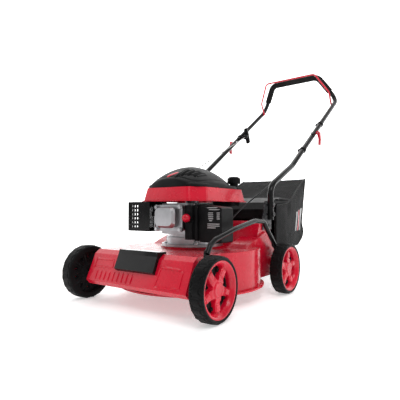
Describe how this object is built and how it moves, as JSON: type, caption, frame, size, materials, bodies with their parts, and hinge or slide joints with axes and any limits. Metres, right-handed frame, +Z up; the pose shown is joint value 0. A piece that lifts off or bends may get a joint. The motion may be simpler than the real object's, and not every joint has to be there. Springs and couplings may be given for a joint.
{
  "type": "push lawn mower",
  "caption": "Walk-behind petrol lawn mower: red deck on height-adjustable wheels, vertical-shaft engine and blade, folding handle, rear flap and grass bag.",
  "frame": {"origin": "on the ground, at the middle of the footprint of the whole mower with its handle up", "axes": "+Z up, -Y the way the mower faces, +X to the operator left"},
  "size_m": [0.566, 1.3523, 1.0315],
  "materials": {
    "red_shell": "gloss paint",
    "red_plastic": "gloss",
    "red_rod": "satin coating",
    "bracket_steel": "gloss paint",
    "black_plastic": "satin grained",
    "tyre_black": "satin",
    "black_tube": "gloss powder coat",
    "foam": "matte foam",
    "cast_aluminium": "cast",
    "plated_steel": "zinc plated",
    "cast_iron": "cast",
    "blade_steel": "ground edge",
    "bushing": "moulded",
    "filter_foam": "open-cell foam",
    "cable": "satin sheath",
    "rope": "braided",
    "bag_cloth": "woven polyester"
  },
  "bodies": {
    "deck": {"air_filter_base": "black_plastic", "air_filter_element": "filter_foam", "axle_bushings": "bushing", "blower_shroud": "red_shell", "brake_cable": "cable", "cable_clips": "black_plastic", "carburettor": "cast_aluminium", "crankcase": "cast_aluminium", "cylinder_head": "cast_aluminium", "deck_shell": "red_shell", "engine_bolts": "plated_steel", "engine_sump": "cast_aluminium", "flap_rod": "plated_steel", "front_grip_insert": "black_plastic", "fuel_tank": "black_plastic", "handle_bolts": "plated_steel", "handle_brackets": "bracket_steel", "ignition_lead": "black_plastic", "lower_tube_left": "black_tube", "lower_tube_right": "black_tube", "muffler": "plated_steel", "muffler_guard": "black_tube", "recoil_cover": "black_plastic", "spark_plug": "plated_steel", "starter_rope": "rope", "valve_cover": "cast_aluminium"},
    "front_crank": {"front_axle": "plated_steel"},
    "rear_crank": {"rear_axle": "plated_steel"},
    "height_link": {"height_link": "black_tube"},
    "front_left_roller": {"front_left_wheel": "tyre_black", "front_left_hubcap": "red_plastic"},
    "front_right_roller": {"front_right_wheel": "tyre_black", "front_right_hubcap": "red_plastic"},
    "rear_left_roller": {"rear_left_wheel": "tyre_black", "rear_left_hubcap": "red_plastic"},
    "rear_right_roller": {"rear_right_wheel": "tyre_black", "rear_right_hubcap": "red_plastic"},
    "blade_shaft": {"crankshaft": "plated_steel", "flywheel": "cast_iron", "blade_adapter": "plated_steel", "blade": "blade_steel", "blade_bolt": "plated_steel"},
    "starter_pulley": {"recoil_pulley": "black_plastic"},
    "starter_handle": {"starter_grip": "black_plastic"},
    "flap": {"rear_flap": "black_plastic"},
    "bag": {"bag_frame": "black_tube", "bag_fabric": "bag_cloth"},
    "upper_handle": {"upper_handlebar": "black_tube", "foam_grip": "foam", "fold_bolts": "plated_steel", "cable_anchor": "black_plastic", "rope_guide": "black_plastic"},
    "left_cam": {"cam_lever_left": "red_plastic"},
    "right_cam": {"cam_lever_right": "red_plastic"},
    "bail": {"opc_bail": "red_rod"},
    "engine_brake": {"brake_lever": "plated_steel"},
    "fuel_cap": {"fuel_cap": "black_plastic"},
    "oil_cap": {"oil_cap": "black_plastic"},
    "primer": {"primer_bulb": "red_plastic"},
    "filter_cover": {"air_filter_cover": "black_plastic"}
  },
  "joints": [
    {"name": "height_front", "type": "hinge", "parent": "deck", "child": "front_crank", "pos_m": [0, -0.546, 0.1029], "axis": [1, 0, 0], "range_deg": [0, 45]},
    {"name": "height_rear", "type": "hinge", "parent": "deck", "child": "rear_crank", "pos_m": [0, -0.087, 0.1029], "axis": [1, 0, 0], "range_deg": [0, 45]},
    {"name": "link_front_pin", "type": "hinge", "parent": "front_crank", "child": "height_link", "pos_m": [0.226, -0.576, 0.1499], "axis": [1, 0, 0], "range_deg": [-45, 0]},
    {"name": "front_left_wheel_spin", "type": "hinge", "parent": "front_crank", "child": "front_left_roller", "pos_m": [0.26, -0.588, 0.0889], "axis": [1, 0, 0], "continuous": true},
    {"name": "front_right_wheel_spin", "type": "hinge", "parent": "front_crank", "child": "front_right_roller", "pos_m": [-0.26, -0.588, 0.0889], "axis": [1, 0, 0], "continuous": true},
    {"name": "rear_left_wheel_spin", "type": "hinge", "parent": "rear_crank", "child": "rear_left_roller", "pos_m": [0.26, -0.129, 0.0889], "axis": [1, 0, 0], "continuous": true},
    {"name": "rear_right_wheel_spin", "type": "hinge", "parent": "rear_crank", "child": "rear_right_roller", "pos_m": [-0.26, -0.129, 0.0889], "axis": [1, 0, 0], "continuous": true},
    {"name": "blade_spin", "type": "hinge", "parent": "deck", "child": "blade_shaft", "pos_m": [0, -0.338, 0.2], "axis": [0, 0, 1], "continuous": true},
    {"name": "starter_pulley_turn", "type": "hinge", "parent": "deck", "child": "starter_pulley", "pos_m": [0, -0.338, 0.3985], "axis": [0, 0, 1], "range_deg": [0, 600]},
    {"name": "starter_pull", "type": "slide", "parent": "upper_handle", "child": "starter_handle", "axis": [0.1192, 0.8259, 0.5511], "range_m": [0, 0.35], "deforming": ["starter_rope"]},
    {"name": "flap_lift", "type": "hinge", "parent": "deck", "child": "flap", "pos_m": [0, -0.126, 0.272], "axis": [1, 0, 0], "range_deg": [0, 62]},
    {"name": "bag_lift_off", "type": "slide", "parent": "deck", "child": "bag", "axis": [0, 1, 0], "range_m": [0, 0.32]},
    {"name": "handle_fold", "type": "hinge", "parent": "deck", "child": "upper_handle", "pos_m": [0, 0.317, 0.6515], "axis": [1, 0, 0], "range_deg": [0, 140], "deforming": ["brake_cable", "starter_rope"]},
    {"name": "left_cam_open", "type": "hinge", "parent": "upper_handle", "child": "left_cam", "pos_m": [0.232, 0.317, 0.6515], "axis": [0, -1, 0], "range_deg": [0, 90]},
    {"name": "right_cam_open", "type": "hinge", "parent": "upper_handle", "child": "right_cam", "pos_m": [-0.232, 0.317, 0.6515], "axis": [0, 1, 0], "range_deg": [0, 90]},
    {"name": "bail_squeeze", "type": "hinge", "parent": "upper_handle", "child": "bail", "pos_m": [0, 0.63142, 0.86132], "axis": [1, 0, 0], "range_deg": [-12, 0], "stiffness_Nm_per_rad": 1.2, "springref_deg": 20.05},
    {"name": "engine_brake_turn", "type": "hinge", "parent": "deck", "child": "engine_brake", "pos_m": [0.113, -0.352, 0.3], "axis": [1, 0, 0], "range_deg": [-12, 0]},
    {"name": "fuel_cap_turn", "type": "hinge", "parent": "deck", "child": "fuel_cap", "pos_m": [0.088, -0.198, 0.405], "axis": [0, 0, 1], "range_deg": [0, 90]},
    {"name": "oil_cap_turn", "type": "hinge", "parent": "deck", "child": "oil_cap", "pos_m": [-0.09, -0.288, 0.265], "axis": [0, 0, 1], "range_deg": [0, 90]},
    {"name": "primer_press", "type": "slide", "parent": "deck", "child": "primer", "axis": [0, 1, 0], "range_m": [0, 0.005], "stiffness_N_per_m": 300},
    {"name": "filter_cover_off", "type": "slide", "parent": "deck", "child": "filter_cover", "axis": [1, 0, 0], "range_m": [0, 0.02]}
  ],
  "couplings": [
    {"joint": "height_rear", "follows": "height_front", "ratio": 1},
    {"joint": "link_front_pin", "follows": "height_front", "ratio": -1},
    {"joint": "engine_brake_turn", "follows": "bail_squeeze", "ratio": 1},
    {"joint": "starter_pulley_turn", "follows": "starter_pull", "rad_per_m": 29.92}
  ]
}
